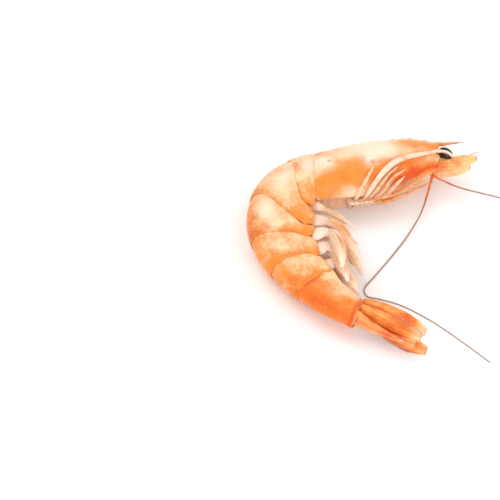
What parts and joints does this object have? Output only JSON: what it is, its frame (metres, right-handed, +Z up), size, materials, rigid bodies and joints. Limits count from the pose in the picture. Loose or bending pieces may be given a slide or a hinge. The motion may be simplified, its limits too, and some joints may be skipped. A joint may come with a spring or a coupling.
{
  "type": "tiger prawn",
  "caption": "Whole cooked tiger prawn in its shell, lying on its side with a curled body, folded legs, a fanned tail and long feelers.",
  "frame": {"origin": "on the ground under the middle of the prawn's bounding box", "axes": "+X towards the head, +Y towards the head's back, +Z up; the prawn lies on its left side"},
  "size_m": [0.1091, 0.0908, 0.0196],
  "materials": {
    "shell": "glossy cooked shell, cream to orange",
    "shell_tail": "glossy cooked shell, cream below and orange on the back",
    "shell_head": "satin cooked shell, deep orange",
    "tail_blade": "glossy thin blades, orange with pale tips",
    "limb": "satin cream skin",
    "eye": "wet black",
    "feeler": "dull red-brown, paler towards the tip"
  },
  "bodies": {
    "root": {"carapace": "shell", "abdomen_1": "shell", "abdomen_2": "shell", "abdomen_3": "shell", "abdomen_4": "shell", "abdomen_5": "shell", "abdomen_6": "shell_tail", "head_front": "shell_head", "eye_right": "eye", "eyestalk_right": "limb", "antennal_scale_right": "shell_head", "antennule_right": "shell_head", "antenna_right": "feeler", "eye_left": "eye", "eyestalk_left": "limb", "antennal_scale_left": "shell_head", "antennule_left": "shell_head", "antenna_left": "feeler", "leg_right_1": "limb", "leg_right_2": "limb", "leg_right_3": "limb", "leg_right_4": "limb", "leg_right_5": "limb", "maxilliped_right": "limb", "swimmeret_right_1": "limb", "swimmeret_right_2": "limb", "swimmeret_right_3": "limb", "swimmeret_right_4": "limb", "swimmeret_right_5": "limb", "leg_left_1": "limb", "leg_left_2": "limb", "leg_left_3": "limb", "leg_left_4": "limb", "leg_left_5": "limb", "maxilliped_left": "limb", "swimmeret_left_1": "limb", "swimmeret_left_2": "limb", "swimmeret_left_3": "limb", "swimmeret_left_4": "limb", "swimmeret_left_5": "limb", "telson": "tail_blade", "uropod_inner_right": "tail_blade", "uropod_inner_left": "tail_blade", "uropod_outer_right": "tail_blade", "uropod_outer_left": "tail_blade"}
  },
  "joints": []
}
